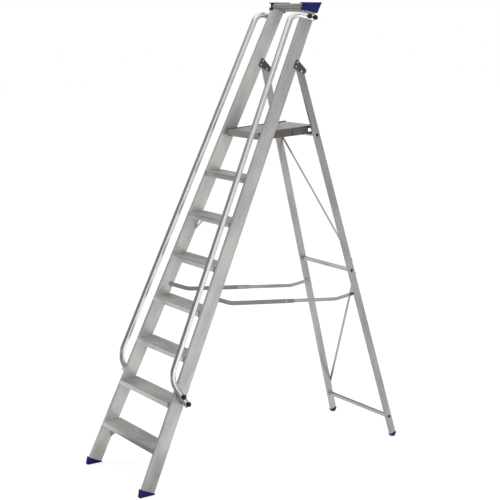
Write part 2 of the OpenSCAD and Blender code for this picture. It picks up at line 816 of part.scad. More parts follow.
// Blue boot under a rear leg: thin rim, pad rocked up at both ends and a plug in the leg
module rear_foot(side) {
    low = leg_len / cos(splay);
    edge = -leg_len - rear_foot_edge;
    play = leg_wall + seat;
    color("#232a78") {
        difference() {
            in_rear() on_side(side) translate([leg_x(leg_len), 0, 0]) along_x(leg_t + 2 * rear_foot_rim)
                polygon([[-rear_tip, rear_foot_top - leg_len], [-rear_tip, edge],
                         [-rear_foot_toe, rear_sole(-rear_foot_toe)],
                         [rear_foot_heel, rear_sole(rear_foot_heel)],
                         [rear_tip, edge], [rear_tip, rear_foot_top - leg_len]]);
            on_leg(side) translate([-leg_t / 2 - seat, -leg_d / 2 - seat, -low - seat])
                linear_extrude(height = leg_d) rounded([leg_t + 2 * seat, leg_d + 2 * seat], leg_r + seat);
        }
        on_leg(side) translate([play - leg_t / 2, play - leg_d / 2, -low - lap])
            linear_extrude(height = foot_plug)
                rounded([leg_t - 2 * play, leg_d - 2 * play], max(leg_r - play, least_r));
    }
}

// Round tube between the rear legs that the platform hooks over
module platform_support_bar() {
    color("#b8b8b3") in_rear() intersection() {
        between_legs();
        translate([0, 0, -rear_q(support_z)]) difference() {
            rod(-half_in, half_in, support_r);
            rod(-inner_w, inner_w, support_r - bar_wall);
        }
    }
}

// Crossbar: tube with a raised bead along its front
module crossbar(z) {
    color("#b0b0aa") in_rear() intersection() {
        between_legs();
        translate([0, 0, -rear_q(z)]) along_x(inner_w) difference() {
            union() {
                square([bar_d, bar_h], center = true);
                translate([-bar_d / 2, 0]) circle(r = bar_bead);
            }
            square([bar_d - 2 * bar_wall, bar_h - 2 * bar_wall], center = true);
        }
    }
}

// Black bolts through the legs into the ends of the three bars
module crossbar_bolts() {
    face = leg_t / 2 + seat;
    color("#161616") for (side = sides) on_leg(side) for (q = bar_drops) translate([0, 0, -q / cos(splay)])
        headed(-face - bolt_grip, face, bolt_r, bolt_head_r, bolt_head_t, outer);
}

// Flat strip on the rear faces of the legs, from the leg on one side down to the other
module diagonal(strip, side) {
    ends = [[side * leg_x(strip[0]), -strip[0]], [-side * leg_x(strip[1]), -strip[1]]];
    color("#a8a8a2") in_rear() translate([0, leg_d / 2 + seat + strip_t, 0]) rotate([90, 0, 0])
        linear_extrude(height = strip_t) difference() {
            bent_bar(ends, strip_w);
            for (q = ends) translate(q) circle(r = rivet_r + seat);
        }
}

module diagonal_rivets() {
    grip = leg_d / 4 - lap;
    face = strip_t + 2 * seat;
    color("#c2c2be") in_rear() for (side = sides) for (q = strip_ends(side))
        translate([side * leg_x(q), leg_d / 2, -q]) rotate([0, 0, 90]) rivet(-grip, face, outer);
}

// Flat bar from a to c with one rounded bend at b
module stay_bar(a, b, c, w) {
    bent_bar(concat([a], rounded_bend(a, b, c, stay_bend_r), [c]), w);
}

// Cranked front arm of a stay, hung on the stile, with a tail past the knuckle
module stay_front_arm(side) {
    color("#64625c") in_stays() on_side(side) sheet_at(stay_x - stay_t, stay_t) difference() {
        stay_bar([0, 0], [stay_crank, -stay_drop], knuckle + [stay_tail, 0], stay_w);
        circle(r = pin_r + run_gap);
        translate(knuckle) circle(r = pin_r + seat);
    }
}

// Cranked rear arm of a stay, hung on the leg
module stay_rear_arm(side) {
    far = [stay_len, 0];
    color("#64625c") in_stays() on_side(side) sheet_at(stay_rear_x - stay_t, stay_t) difference() {
        stay_bar(knuckle - [stay_lead, 0], far + [-stay_rear_crank, -stay_drop], far, stay_rear_w);
        translate(far) circle(r = pin_r + run_gap);
        translate(knuckle) circle(r = pin_r + seat);
    }
}

module stay_stile_pivots() {
    color("#9a9a96") intersection() {
        in_front() between_stiles();
        in_stays() for (side = sides) on_side(side) shouldered_pin(stay_x, stay_t, stay_reach);
    }
}

module stay_leg_pivots() {
    color("#9a9a96") intersection() {
        in_rear() between_legs();
        in_stays() translate([0, stay_len, 0]) for (side = sides) on_side(side)
            shouldered_pin(stay_rear_x, stay_t, stay_reach);
    }
}

// Half of the knuckle rivet that rides with the front arm
module knuckle_rivet(side) {
    face = stay_x + seat;
    color("#c2c2be") in_stays() on_side(side) translate([0, knuckle[0], knuckle[1]])
        pin(stay_x - stay_t, face, outer);
}

// Half of the knuckle rivet that rides with the rear arm
module knuckle_stud(side) {
    face = stay_rear_x - stay_t - seat;
    color("#c2c2be") in_stays() on_side(side) translate([0, knuckle[0], knuckle[1]])
        pin(face, stay_rear_x, inner);
}

stile(left);  // stile_left
stile(right);  // stile_right
tread(1);  // tread_1
tread(2);  // tread_2
tread(3);  // tread_3
tread(4);  // tread_4
tread(5);  // tread_5
tread(6);  // tread_6
tread(7);  // tread_7
knee_braces(lower_brace_tread);  // knee_braces_lower
knee_braces(upper_brace_tread);  // knee_braces_upper
front_foot(left);  // front_foot_left
front_foot(right);  // front_foot_right
tray_front_rail();
tray_rear_rail();
tray_floor();
tray_cap(left);  // tray_cap_left
tray_cap(right);  // tray_cap_right
handrail(left);  // handrail_left
handrail(right);  // handrail_right
handrail_spacers();
handrail_bolts();
handrail_bolt_caps();
hinge_plates(left);  // hinge_plates_left
hinge_plates(right);  // hinge_plates_right
hinge_plate_rivets();
hinge_pins();
platform_pivot_pins();
platform_deck();
platform_side(left);  // platform_side_left
platform_side(right);  // platform_side_right
platform_hooks();
platform_rivets();
rear_leg(left);  // rear_leg_left
rear_leg(right);  // rear_leg_right
rear_foot(left);  // rear_foot_left
rear_foot(right);  // rear_foot_right
platform_support_bar();
crossbar(middle_z);  // middle_crossbar
crossbar(bottom_z);  // bottom_crossbar
crossbar_bolts();
diagonal(upper_strip, left);  // upper_diagonal
diagonal(lower_strip, right);  // lower_diagonal
diagonal_rivets();
stay_front_arm(left);  // stay_front_arm_left
stay_front_arm(right);  // stay_front_arm_right
stay_rear_arm(left);  // stay_rear_arm_left
stay_rear_arm(right);  // stay_rear_arm_right
stay_stile_pivots();
stay_leg_pivots();
knuckle_rivet(left);  // knuckle_rivet_left
knuckle_rivet(right);  // knuckle_rivet_right
knuckle_stud(left);  // knuckle_stud_left
knuckle_stud(right);  // knuckle_stud_right
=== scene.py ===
import json
import math

import bmesh
import bpy
import numpy as np
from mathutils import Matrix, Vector

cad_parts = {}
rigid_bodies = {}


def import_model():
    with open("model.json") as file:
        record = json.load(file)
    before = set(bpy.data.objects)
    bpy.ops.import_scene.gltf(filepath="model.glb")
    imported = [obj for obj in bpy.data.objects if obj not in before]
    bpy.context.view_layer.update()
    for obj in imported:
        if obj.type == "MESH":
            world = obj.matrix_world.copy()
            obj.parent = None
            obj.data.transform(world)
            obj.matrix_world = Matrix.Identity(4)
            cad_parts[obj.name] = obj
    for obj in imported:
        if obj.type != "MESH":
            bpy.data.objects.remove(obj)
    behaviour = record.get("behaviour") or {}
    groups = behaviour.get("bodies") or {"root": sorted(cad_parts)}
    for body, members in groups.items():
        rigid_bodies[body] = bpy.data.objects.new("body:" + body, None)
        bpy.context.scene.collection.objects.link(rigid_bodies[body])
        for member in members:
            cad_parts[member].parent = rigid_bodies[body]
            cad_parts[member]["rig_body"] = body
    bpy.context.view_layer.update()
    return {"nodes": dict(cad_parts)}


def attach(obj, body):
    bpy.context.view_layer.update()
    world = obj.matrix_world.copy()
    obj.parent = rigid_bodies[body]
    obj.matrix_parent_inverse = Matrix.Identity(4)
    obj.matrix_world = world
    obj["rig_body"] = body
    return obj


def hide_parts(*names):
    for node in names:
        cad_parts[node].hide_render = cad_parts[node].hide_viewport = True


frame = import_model()
nodes = frame["nodes"]
print("frame loaded:", len(nodes), "nodes")

# Lines of the ladder that several pieces share, in metres and degrees
ladder = {
    "lean": 24.7,  # front frame from upright
    "rearLean": 15.96,  # rear frame from upright
    "splay": 3.11,  # stiles and legs close in towards the top
    "halfWidth": 0.2935,  # inner face of a stile at the floor line
    "stileThick": 0.021,
    "footLine": 0.895002,  # distance from the foot line of the stiles to the middle of the part
}


def sinCos(degrees):
    turn = math.radians(degrees)
    return math.sin(turn), math.cos(turn)


leanSin, leanCos = sinCos(ladder["lean"])
splaySin, splayCos = sinCos(ladder["splay"])


# A point of stile space (out from the inner face, behind the front face, along the stile) in the part's
# frame: turned in by the splay, then laid back by the lean
def fromStile(out, behind, along):
    up = out * splaySin + along * splayCos
    x = ladder["halfWidth"] + out * splayCos - along * splaySin
    y = behind * leanCos + up * leanSin - ladder["footLine"]
    z = up * leanCos - behind * leanSin
    return np.stack(np.broadcast_arrays(x, y, z), axis=-1)


# Half the clear width between the stiles at a point of the part's frame
def clearHalf(y, z):
    up = (y + ladder["footLine"]) * leanSin + z * leanCos
    return ladder["halfWidth"] - up * splaySin / splayCos


def mirrored(points):
    return points * np.array([-1.0, 1.0, 1.0])


# Shader helpers

noiseRange = (0.3, 0.7)  # nearly all values of a noise lie in here


def shader(name, **sockets):
    material = bpy.data.materials.new(name)
    material.use_nodes = True
    bsdf = material.node_tree.nodes["Principled BSDF"]
    for socket, value in sockets.items():
        bsdf.inputs[socket.replace("_", " ")].default_value = value
    return material, material.node_tree.nodes, material.node_tree.links, bsdf


def objectNoise(tree, links, scale, turn=(0, 0, 0), detail=3.0, rough=0.55):
    coords = tree.new("ShaderNodeTexCoord")
    mapping = tree.new("ShaderNodeMapping")
    mapping.vector_type = "TEXTURE"
    mapping.inputs["Rotation"].default_value = [math.radians(a) for a in turn]
    mapping.inputs["Scale"].default_value = [1 / s for s in scale]
    noise = tree.new("ShaderNodeTexNoise")
    noise.inputs["Scale"].default_value = 1.0
    noise.inputs["Detail"].default_value = detail
    noise.inputs["Roughness"].default_value = rough
    links.new(coords.outputs["Object"], mapping.inputs["Vector"])
    links.new(mapping.outputs["Vector"], noise.inputs["Vector"])
    return noise.outputs["Fac"]


def ramp(tree, links, value, stops):
    node = tree.new("ShaderNodeValToRGB")
    while len(node.color_ramp.elements) < len(stops):
        node.color_ramp.elements.new(0.5)
    for element, (place, colour) in zip(node.color_ramp.elements, stops):
        element.position = place
        element.color = (*colour, 1.0)
    links.new(value, node.inputs["Fac"])
    return node.outputs["Color"]


def twoTone(tree, links, value, low, high):
    return ramp(tree, links, value, list(zip(noiseRange, (low, high))))


def spread(tree, links, value, low, high):
    node = tree.new("ShaderNodeMapRange")
    node.inputs["From Min"].default_value = noiseRange[0]
    node.inputs["From Max"].default_value = noiseRange[1]
    node.inputs["To Min"].default_value = low
    node.inputs["To Max"].default_value = high
    links.new(value, node.inputs["Value"])
    return node.outputs["Result"]


def multiply(tree, links, first, second):
    node = tree.new("ShaderNodeMix")
    node.data_type = "RGBA"
    node.blend_type = "MULTIPLY"
    node.inputs["Factor"].default_value = 1.0
    links.new(first, node.inputs["A"])
    links.new(second, node.inputs["B"])
    return node.outputs["Result"]


def bump(tree, links, value, bsdf, distance, strength):
    node = tree.new("ShaderNodeBump")
    node.inputs["Distance"].default_value = distance
    node.inputs["Strength"].default_value = strength
    links.new(value, node.inputs["Height"])
    links.new(node.outputs["Normal"], bsdf.inputs["Normal"])


def around(colour, share):
    return tuple(c * share for c in colour)


# Extruded aluminium: fine draw lines along the length, slow light and dark patches, a dull sheen

aluminium = {
    "patchScale": (14, 14, 5),
    "patchStops": (0.36, 0.5, 0.64),
    "lighter": (1.0, 1.0, 0.8),  # shares of the mottle in red, green and blue
    "darker": (1.2, 1.2, 1.1),
    "streak": (0.86, 0.86, 0.86),  # tone of the darkest draw line
    "lineDepth": 0.00006,
    "lineStrength": 0.4,
}


def drawnAluminium(name, tone, turn=(0, 0, 0), lines=(700, 700, 5), rough=(0.24, 0.36), metal=1.0,
                   mottle=0.06):
    material, tree, links, bsdf = shader(name, Metallic=metal)
    drawLines = objectNoise(tree, links, lines, turn, detail=4.0, rough=0.6)
    patches = objectNoise(tree, links, aluminium["patchScale"], turn, detail=2.5)
    light = tuple(c * (1 + share * mottle) for c, share in zip(tone, aluminium["lighter"]))
    dark = tuple(c * (1 - share * mottle) for c, share in zip(tone, aluminium["darker"]))
    body = ramp(tree, links, patches, list(zip(aluminium["patchStops"], (dark, tone, light))))
    streak = twoTone(tree, links, drawLines, aluminium["streak"], (1.0, 1.0, 1.0))
    links.new(multiply(tree, links, body, streak), bsdf.inputs["Base Color"])
    links.new(spread(tree, links, drawLines, *rough), bsdf.inputs["Roughness"])
    bump(tree, links, drawLines, bsdf, aluminium["lineDepth"], aluminium["lineStrength"])
    return material


# Bright plated steel with faint polishing marks

plating = {
    "markScale": (500, 500, 8),
    "cloudScale": (25, 25, 12),
    "dimmest": 0.94,
    "rough": (0.27, 0.31),
}


def brightTube(name, tone, turn):
    material, tree, links, bsdf = shader(name, Metallic=1.0)
    marks = objectNoise(tree, links, plating["markScale"], turn, rough=0.5)
    clouds = objectNoise(tree, links, plating["cloudScale"], turn, detail=2.0, rough=0.5)
    body = twoTone(tree, links, clouds, around(tone, plating["dimmest"]), tone)
    links.new(body, bsdf.inputs["Base Color"])
    links.new(spread(tree, links, marks, *plating["rough"]), bsdf.inputs["Roughness"])
    return material


# Moulded plastic: fine grain and a slight change of tone

plastic = {
    "specular": 0.3,
    "grainScale": (1100, 1100, 1100),
    "cloudScale": (18, 18, 18),
    "dimmest": 0.85,
    "brightest": 1.12,
    "smoother": 0.06,  # the grain's part in the roughness, below and above
    "rougher": 0.08,
    "grainDepth": 0.0001,
    "grainStrength": 0.6,
}


def mouldedPlastic(name, tone, rough):
    material, tree, links, bsdf = shader(name, Specular_IOR_Level=plastic["specular"])
    grain = objectNoise(tree, links, plastic["grainScale"], detail=2.0, rough=0.6)
    clouds = objectNoise(tree, links, plastic["cloudScale"])
    body = twoTone(tree, links, clouds, around(tone, plastic["dimmest"]), around(tone, plastic["brightest"]))
    links.new(body, bsdf.inputs["Base Color"])
    roughness = spread(tree, links, grain, rough - plastic["smoother"], rough + plastic["rougher"])
    links.new(roughness, bsdf.inputs["Roughness"])
    bump(tree, links, grain, bsdf, plastic["grainDepth"], plastic["grainStrength"])
    return material


# Painted or browned plate: mottled coat over metal, with scuffs

plate = {
    "mottleScale": (60, 60, 60),
    "mottleStops": ((0.3, 0.8), (0.55, 1.0), (0.75, 1.25)),  # place and share of the tone
    "scuffScale": (240, 240, 30),
    "smoother": 0.1,  # the scuffs' part in the roughness, below and above
    "rougher": 0.12,
    "scuffDepth": 0.0001,
    "scuffStrength": 0.5,
}


def brownedPlate(name, tone, metal=0.35, rough=0.42):
    material, tree, links, bsdf = shader(name, Metallic=metal)
    mottle = objectNoise(tree, links, plate["mottleScale"], detail=4.0, rough=0.6)
    scuff = objectNoise(tree, links, plate["scuffScale"], (ladder["lean"], 0, 0), rough=0.65)
    body = ramp(tree, links, mottle, [(place, around(tone, share)) for place, share in plate["mottleStops"]])
    links.new(body, bsdf.inputs["Base Color"])
    roughness = spread(tree, links, scuff, rough - plate["smoother"], rough + plate["rougher"])
    links.new(roughness, bsdf.inputs["Roughness"])
    bump(tree, links, scuff, bsdf, plate["scuffDepth"], plate["scuffStrength"])
    return material


# Finishes, linear colour; the right stile and leg are the near ones, which the photo shows darker: their
# darker tone is painted shade, and the left stile's and leg's lighter tone is painted light, so they are lit
# and shaded copies of one aluminium
tones = {
    "leftStile": (0.63, 0.63, 0.60),
    "rightStile": (0.52, 0.52, 0.50),
    "leftLeg": (0.44, 0.44, 0.425),
    "rightLeg": (0.39, 0.39, 0.38),
    "treadLip": (0.52, 0.52, 0.505),
    "treadTop": (0.52, 0.525, 0.50),
    "deck": (0.49, 0.49, 0.47),
    "tray": (0.38, 0.385, 0.365),
    "bar": (0.60, 0.60, 0.575),
    "strip": (0.40, 0.405, 0.385),
    # the front stay's darker tone is painted shade and the rear stay's lighter tone is painted light
    "stayFront": (0.23, 0.222, 0.21),
    "stayRear": (0.38, 0.375, 0.36),
    "chrome": (0.88, 0.87, 0.865),
    "blue": (0.007, 0.010, 0.122),
    "black": (0.012, 0.012, 0.014),
    "brown": (0.10, 0.074, 0.066),
    "side": (0.16, 0.13, 0.12),
    "hook": (0.14, 0.138, 0.134),
    "rivet": (0.62, 0.61, 0.59),
    "zinc": (0.40, 0.40, 0.39),
}
alongStile = (-ladder["lean"], 0, 0)
alongLeg = (ladder["rearLean"], 0, 0)
acrossX = (0, 90, 0)
alongStay = (90, 0, 0)
stileLook = {"turn": alongStile, "rough": (0.28, 0.36), "metal": 0.4, "mottle": 0.12}
legLook = {"turn": alongLeg, "rough": (0.28, 0.36), "metal": 0.65, "mottle": 0.10}
treadTopLook = {"turn": acrossX, "lines": (90, 90, 14), "rough": (0.4, 0.6), "metal": 0.6, "mottle": 0.14}
# The left stile and leg finishes are painted-light copies, and the right ones painted-shade copies, of one
# aluminium
litLeftStileFinish = drawnAluminium("litLeftStileAluminium", tones["leftStile"], **stileLook)
shadedRightStileFinish = drawnAluminium("shadedRightStileAluminium", tones["rightStile"], **stileLook)
litLeftLegFinish = drawnAluminium("litLeftLegAluminium", tones["leftLeg"], **legLook)
shadedRightLegFinish = drawnAluminium("shadedRightLegAluminium", tones["rightLeg"], **legLook)
lipFinish = drawnAluminium("treadLipAluminium", tones["treadLip"], acrossX, metal=0.75)
topFinish = drawnAluminium("treadTopAluminium", tones["treadTop"], **treadTopLook)
deckFinish = drawnAluminium("deckAluminium", tones["deck"], acrossX, rough=(0.42, 0.56), mottle=0.1)
trayFinish = drawnAluminium("trayAluminium", tones["tray"], acrossX, rough=(0.42, 0.52), metal=0.5)
barFinish = drawnAluminium("barAluminium", tones["bar"], acrossX)
stripFinish = drawnAluminium("stripAluminium", tones["strip"], acrossX)
# The front stay finish is a painted-shade copy and the rear stay finish a painted-light copy of one steel
shadedFrontStayFinish = drawnAluminium("shadedFrontStaySteel", tones["stayFront"], alongStay, metal=0.8)
litRearStayFinish = drawnAluminium("litRearStaySteel", tones["stayRear"], alongStay, metal=0.8)
chromeFinish = brightTube("brightTube", tones["chrome"], alongStile)
blueFinish = mouldedPlastic("bluePlastic", tones["blue"], 0.42)
blackFinish = mouldedPlastic("blackPlastic", tones["black"], 0.30)
brownFinish = brownedPlate("brownPlate", tones["brown"])
sideFinish = brownedPlate("sidePlate", tones["side"], 0.8, 0.34)
hookFinish = brownedPlate("hookPlate", tones["hook"], 0.6, 0.40)
rivetFinish = brownedPlate("rivetMetal", tones["rivet"], 1.0, 0.28)
zincFinish = brownedPlate("zincSteel", tones["zinc"], 1.0, 0.36)
print("finishes made:", len(bpy.data.materials))

# Finish of each CAD node, by the start of its name
nodeFinish = {
    # the stile and leg finishes here carry painted light (left) and painted shade (right)
    "stile_left": litLeftStileFinish,
    "stile_right": shadedRightStileFinish,
    "tread": lipFinish,
    "knee": litLeftStileFinish,
    "front_foot": blueFinish,
    "rear_foot": blueFinish,
    "tray_cap": blueFinish,
    "tray": trayFinish,
    "handrail_spacers": blackFinish,
    "handrail_bolts": zincFinish,
    "handrail_bolt_caps": blackFinish,
    "handrail": chromeFinish,
    "hinge_plates": brownFinish,
    "hinge": rivetFinish,
    "platform_pivot": zincFinish,
    "platform_deck": deckFinish,
    "platform_side": sideFinish,
    "platform_hooks": hookFinish,
    "platform_rivets": hookFinish,
    "platform_support": barFinish,
    "rear_leg_left": litLeftLegFinish,
    "rear_leg_right": shadedRightLegFinish,
    "middle": barFinish,
    "bottom": barFinish,
    "crossbar_bolts": blackFinish,
    "upper": stripFinish,
    "lower": stripFinish,
    "diagonal": rivetFinish,
    # the front stay finish carries painted shade and the rear stay finish carries painted light
    "stay_front": shadedFrontStayFinish,
    "stay_rear": litRearStayFinish,
    "stay": zincFinish,
    "knuckle": rivetFinish,
}
for nodeName, node in nodes.items():
    start = max((s for s in nodeFinish if nodeName.startswith(s)), key=len)
    node.data.materials.clear()
    node.data.materials.append(nodeFinish[start])
print("CAD nodes dressed")


# Mesh helpers

# Quads of a grid of rows by columns, as an index array; a closed grid joins its last row or column to the
# first
def gridQuads(rows, columns, closeRows, closeColumns):
    index = np.arange(rows * columns).reshape(rows, columns)
    if closeRows:
        index = np.vstack([index, index[:1]])
    if closeColumns:
        index = np.hstack([index, index[:, :1]])
    quads = np.stack([index[:-1, :-1], index[:-1, 1:], index[1:, 1:], index[1:, :-1]], axis=-1)
    return quads.reshape(-1, 4)


def pieceFrom(name, points, faces, body, finish, replaced, sharp=35):
    mesh = bpy.data.meshes.new(name)
    mesh.from_pydata(points.reshape(-1, 3).tolist(), [], [list(map(int, f)) for f in faces])
    mesh.validate()
    mesh.shade_smooth()
    mesh.set_sharp_from_angle(angle=math.radians(sharp))
    mesh.materials.append(finish)
    piece = bpy.data.objects.new(name, mesh)
    bpy.context.scene.collection.objects.link(piece)
    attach(piece, body)
    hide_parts(*replaced)
    return piece


# Rounds the corners of an outline: each corner becomes a parabola between the points that lie a radius away
# on its two edges
def roundedOutline(corners, radii, steps=5):
    corner = np.asarray(corners, float)
    radius = np.asarray(radii, float)[:, None]
    back = np.roll(corner, 1, axis=0) - corner
    ahead = np.roll(corner, -1, axis=0) - corner
    first = corner + back / np.linalg.norm(back, axis=1, keepdims=True) * radius
    last = corner + ahead / np.linalg.norm(ahead, axis=1, keepdims=True) * radius
    t = np.linspace(0.0, 1.0, steps)[None, :, None]
    curve = (1 - t) ** 2 * first[:, None] + 2 * t * (1 - t) * corner[:, None] + t ** 2 * last[:, None]
    return curve.reshape(-1, 2)


# Handrails: a circle carried along the line of the tube, out over the wall and back inside it

rail = {
    "diameter": 0.032,
    "wall": 0.0018,
    "inFront": 0.053,  # tube centre in front of the stile, at the floor line
    "outside": 0.00205,  # tube centre outside the stile, at the floor line
    "turn": 15.0,  # outward turn of the bent ends
    "spread": 0.32,  # the tube draws away from the stile towards the top
    "low": 0.703,
    "high": 2.696,
    "lowBend": (0.118, 53.1301, 0.118),  # bend radius, bend angle, straight end
    "highBend": (0.062, 79.0, 0.090),
    "sides": 48,
    "bendSteps": 28,
}


# Line of the tube in its own plane (towards the stile, along the tube): a straight run that ends in an arc
# and a short straight, both ways
def railLine():
    def bend(radius, angle, tail):
        turn = np.radians(np.linspace(0.0, angle, rail["bendSteps"]))
        curve = np.stack([radius * (1 - np.cos(turn)), radius * np.sin(turn)], axis=-1)
        ahead = np.array([math.sin(turn[-1]), math.cos(turn[-1])])
        return np.vstack([curve, curve[-1] + tail * ahead])
    low = bend(*rail["lowBend"]) * [1, -1] + [0, rail["low"]]
    high = bend(*rail["highBend"]) + [0, rail["high"]]
    return np.vstack([low[::-1], high])


# The tube's plane in stile space: turned outwards, and leant by the spread
def railPlace(q):
    turnSin, turnCos = sinCos(rail["turn"])
    spreadSin, spreadCos = sinCos(rail["spread"])
    out = ladder["stileThick"] + rail["outside"] + q[..., 0] * turnSin + q[..., 2] * turnCos
    level = q[..., 0] * turnCos - q[..., 2] * turnSin
    behind = level * spreadCos - q[..., 1] * spreadSin - rail["inFront"]
    along = level * spreadSin + q[..., 1] * spreadCos
    return fromStile(out, behind, along)


def makeHandrails():
    line = railLine()
    ahead = np.gradient(line, axis=0)
    ahead /= np.linalg.norm(ahead, axis=1, keepdims=True)
    side = np.stack([ahead[:, 1], -ahead[:, 0]], axis=-1)
    angle = np.linspace(0.0, 2 * np.pi, rail["sides"], endpoint=False)

    def skin(radius):
        ring = radius * np.cos(angle)[None, :, None] * side[:, None, :]
        flat = np.broadcast_to(radius * np.sin(angle), ring.shape[:2])
        return np.concatenate([line[:, None, :] + ring, flat[..., None]], axis=-1)

    radius = rail["diameter"] / 2
    wall = np.concatenate([skin(radius), skin(radius - rail["wall"])[::-1]])
    points = railPlace(wall)
    faces = gridQuads(len(wall), rail["sides"], True, True)
    pair = (
        ("handrailRight", "handrail_right", points, faces),
        ("handrailLeft", "handrail_left", mirrored(points), faces[:, ::-1]),
    )
    for name, node, place, skinFaces in pair:
        piece = pieceFrom(name, place, skinFaces, "front_frame", chromeFinish, [node])
        print(name, "from", len(wall), "rings")


# Treads: an outline with a ribbed top carried across between the stiles, whose faces cut its ends

tread = {
    "count": 7,
    "first": 0.247,
    "rise": 0.232,
    "depth": 0.115,
    "lead": 0.015,  # nose in front of the stiles
    "wall": 0.0025,
    "lip": 0.030,
    "nose": 0.004,
    "back": 0.014,
    "hem": 0.006,
    "ribMargin": 0.012,
    "ribPitch": 0.007,
    "ribDepth": 0.0012,
    "ribSteepness": 1.1,
    "ripple": 0.12,  # share of the rib's depth
    "ripplesPerRib": 4,
    "ribSamples": 12,
    "edge": 0.0007,
    "noseSteps": 7,
    "seat": 0.00005,  # gap to the stiles
    "web": 0.003,  # thickness of the web that closes each end behind the lip
    "sharp": 50,  # edges over this angle stay crisp
}


# Top of a tread: ribs with steep flanks, from a clipped cosine, each crest crossed by a finer ripple
def ribTop():
    pitch = tread["ribPitch"]
    start = tread["ribMargin"]
    ribs = int((tread["depth"] - 2 * start) / pitch)
    y = start + np.linspace(0.0, ribs * pitch, ribs * tread["ribSamples"] + 1)
    phase = 2 * np.pi * (y - start) / pitch
    wave = np.clip(0.5 + tread["ribSteepness"] * np.cos(phase), 0.0, 1.0)
    ripple = tread["ripple"] * wave * (1 - np.cos(tread["ripplesPerRib"] * phase)) / 2
    return np.stack([y, -tread["ribDepth"] * (1 - wave + ripple)], axis=-1)


# Outline of a tread with every corner rounded: nose, ribbed top, rear lip with its hem, the rib under the
# middle, and the front lip with its hem
def treadOutline():
    depth, wall, lip, back, hem = (tread[k] for k in ("depth", "wall", "lip", "back", "hem"))
    mid = depth / 2
    corners = [(0, 0), (depth, 0), (depth, -back), (depth - hem, -back), (depth - hem, wall - back),
               (depth - wall, wall - back), (depth - wall, -wall), (mid + wall, -wall), (mid + wall, -back),
               (mid, -back), (mid, -wall), (wall, -wall), (wall, wall - lip), (hem, wall - lip),
               (hem, -lip), (0, -lip)]
    radii = [tread["nose"]] + [tread["edge"]] * (len(corners) - 1)
    steps = tread["noseSteps"]
    outline = roundedOutline(corners, radii, steps)
    return np.vstack([outline[:steps], ribTop(), outline[steps:]])


# A closed bar from an outline (behind the nose, above the top) of tread k. Each of its two ends is a share
# of half the clear width and an offset from there; the faces' indices count on from base
def treadBar(k, outline, base, ends):
    top = tread["first"] + k * tread["rise"]
    nose = top * leanSin / leanCos - tread["lead"] - ladder["footLine"]
    y = nose + outline[:, 0]
    z = top + outline[:, 1]
    half = clearHalf(y, z) - tread["seat"]
    points = np.concatenate([np.stack([share * half + offset, y, z], axis=-1) for share, offset in ends])
    count = len(outline)
    skin = base + gridQuads(2, count, False, True)
    lids = [base + np.arange(count)[::-1], base + count + np.arange(count)]
    return points, [*skin[:, ::-1], *lids]


# A tread is its outline carried from stile to stile, and a web behind the lip at each end
def makeTreads():
    outline = treadOutline()
    ribCount = len(ribTop())
    wall, web, lip = tread["wall"], tread["web"], tread["lip"]
    webBack = tread["lead"] + wall
    corners = [(wall, -wall), (webBack, -wall), (webBack, -lip), (wall, -lip)]
    webOutline = roundedOutline(corners, [tread["edge"]] * len(corners))
    for k in range(tread["count"]):
        points, faces = treadBar(k, outline, 0, ((-1, 0), (1, 0)))
        for ends in (((-1, 0), (-1, web)), ((1, -web), (1, 0))):
            webPoints, webFaces = treadBar(k, webOutline, len(points), ends)
            points = np.vstack([points, webPoints])
            faces += webFaces
        name = f"tread{k + 1}"
        piece = pieceFrom(name, points, faces, "front_frame", lipFinish, [f"tread_{k + 1}"], tread["sharp"])
        piece.data.materials.append(topFinish)
        index = np.zeros(len(piece.data.polygons), np.int32)
        index[tread["noseSteps"] - 1: tread["noseSteps"] + ribCount + 1] = 1
        piece.data.polygons.foreach_set("material_index", index)
    print("treads made:", tread["count"], "with", ribCount, "points across the ribs")


# Moulded and cut pieces keep their CAD form, with softened edges

softEdges = {  # edge width and the record's slot
    "front_foot_left": (0.0016, "blue_plastic"),
    "front_foot_right": (0.0016, "blue_plastic"),
    "rear_foot_left": (0.0014, "blue_plastic"),
    "rear_foot_right": (0.0014, "blue_plastic"),
    "tray_cap_left": (0.0014, "blue_plastic"),
    "tray_cap_right": (0.0014, "blue_plastic"),
    "platform_hooks": (0.0006, "dark_steel"),
    "platform_side_left": (0.0005, "bronze_plate"),
    "platform_side_right": (0.0005, "bronze_plate"),
    "hinge_plates_left": (0.0006, "brown_plate"),
    "hinge_plates_right": (0.0006, "brown_plate"),
}
softening = {
    "weld": 1e-6,  # points this near become one
    "flatAngle": 1,  # faces that differ by less are joined
    "smoothAngle": 60,  # edges over this angle stay crisp
    "edgeAngle": 40,  # edges over this angle are rounded
    "segments": 3,
}


def camelName(nodeName):
    first, *rest = nodeName.split("_")
    return first + "".join(word.capitalize() for word in rest)


def softenEdges():
    for nodeName, (width, slotName) in softEdges.items():
        source = nodes[nodeName]
        mesh = source.data.copy()
        shape = bmesh.new()
        shape.from_mesh(mesh)
        bmesh.ops.remove_doubles(shape, verts=shape.verts, dist=softening["weld"])
        flat = math.radians(softening["flatAngle"])
        bmesh.ops.dissolve_limit(shape, angle_limit=flat, verts=shape.verts, edges=shape.edges)
        shape.to_mesh(mesh)
        shape.free()
        mesh.shade_smooth()
        mesh.set_sharp_from_angle(angle=math.radians(softening["smoothAngle"]))
        piece = bpy.data.objects.new(camelName(nodeName), mesh)
        bpy.context.scene.collection.objects.link(piece)
        edge = piece.modifiers.new("softEdge", "BEVEL")
        edge.width = width
        edge.segments = softening["segments"]
        edge.limit_method = "ANGLE"
        edge.angle_limit = math.radians(softening["edgeAngle"])
        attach(piece, source["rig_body"])
        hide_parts(nodeName)
    print("edges softened:", len(softEdges))


# Studio: pale floor, soft lamps that don't show in the metal, and cards that show only there

